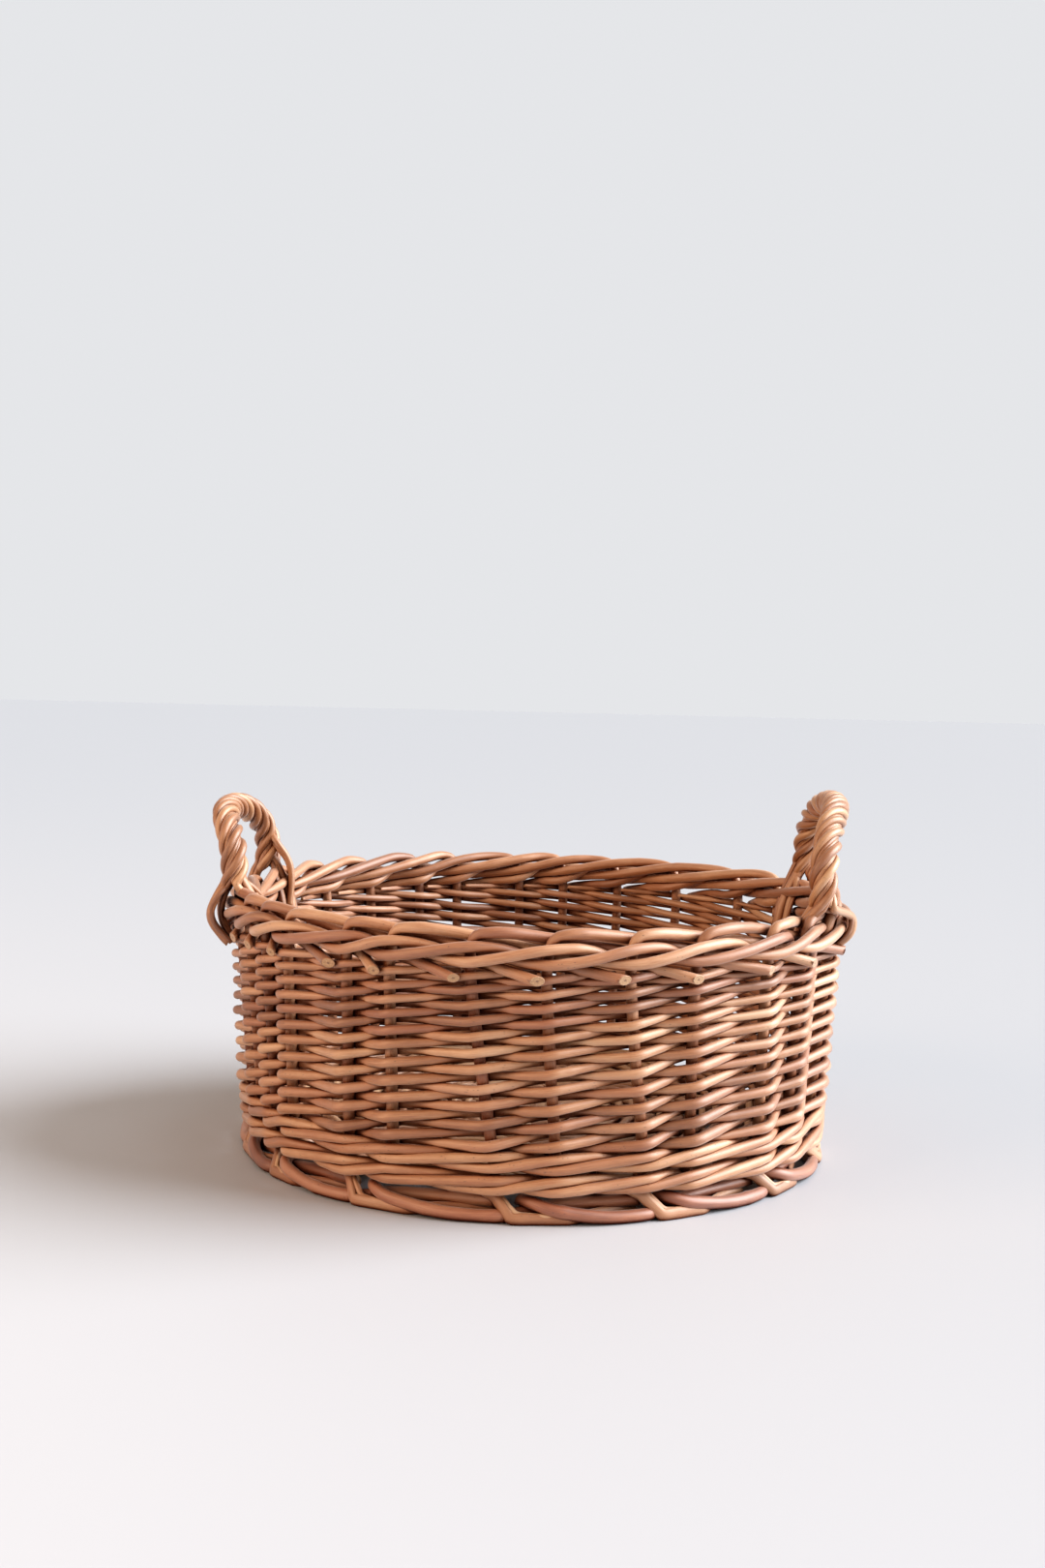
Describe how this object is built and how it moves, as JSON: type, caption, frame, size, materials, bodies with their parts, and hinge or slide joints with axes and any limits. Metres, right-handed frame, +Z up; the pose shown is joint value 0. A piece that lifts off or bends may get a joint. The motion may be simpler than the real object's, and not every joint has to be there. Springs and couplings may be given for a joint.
{
  "type": "fruit basket",
  "caption": "Round open willow fruit basket, woven rod by rod, with a rolled border, a raised foot and roped ear handles.",
  "frame": {"origin": "on the ground under the middle of the basket", "axes": "+Z up, -Y the front, +X to the right, through the handles"},
  "size_m": [0.3424, 0.3387, 0.1952],
  "materials": {
    "stake_willow": "satin",
    "weaver_willow": "satin",
    "wale_willow": "satin",
    "base_willow": "satin",
    "kinked_foot_willow": "satin",
    "running_foot_willow": "satin",
    "handle_willow": "satin"
  },
  "bodies": {
    "root": {"base_passing_sticks": "base_willow", "base_slit_sticks": "base_willow", "base_weave": "base_willow", "upsett_wale": "wale_willow", "foot_kinked_rods": "kinked_foot_willow", "foot_running_rods": "running_foot_willow", "left_handle_bow": "handle_willow", "left_handle_wraps": "handle_willow", "right_handle_bow": "handle_willow", "right_handle_wraps": "handle_willow", "side_stake_01": "stake_willow", "side_stake_02": "stake_willow", "side_stake_03": "stake_willow", "side_stake_04": "stake_willow", "side_stake_05": "stake_willow", "side_stake_06": "stake_willow", "side_stake_07": "stake_willow", "side_stake_08": "stake_willow", "side_stake_09": "stake_willow", "side_stake_10": "stake_willow", "side_stake_11": "stake_willow", "side_stake_12": "stake_willow", "side_stake_13": "stake_willow", "side_stake_14": "stake_willow", "side_stake_15": "stake_willow", "side_stake_16": "stake_willow", "side_stake_17": "stake_willow", "side_stake_18": "stake_willow", "side_stake_19": "stake_willow", "side_stake_20": "stake_willow", "side_stake_21": "stake_willow", "side_stake_22": "stake_willow", "side_stake_23": "stake_willow", "side_stake_24": "stake_willow", "side_stake_25": "stake_willow", "side_stake_26": "stake_willow", "side_stake_27": "stake_willow", "side_stake_28": "stake_willow", "side_weavers_01": "weaver_willow", "side_weavers_02": "weaver_willow", "side_weavers_03": "weaver_willow", "side_weavers_04": "weaver_willow", "side_weavers_05": "weaver_willow", "side_weavers_06": "weaver_willow", "side_weavers_07": "weaver_willow", "side_weavers_08": "weaver_willow", "side_weavers_09": "weaver_willow", "side_weavers_10": "weaver_willow", "side_weavers_11": "weaver_willow", "side_weavers_12": "weaver_willow", "side_weavers_13": "weaver_willow", "side_weavers_14": "weaver_willow"}
  },
  "joints": []
}
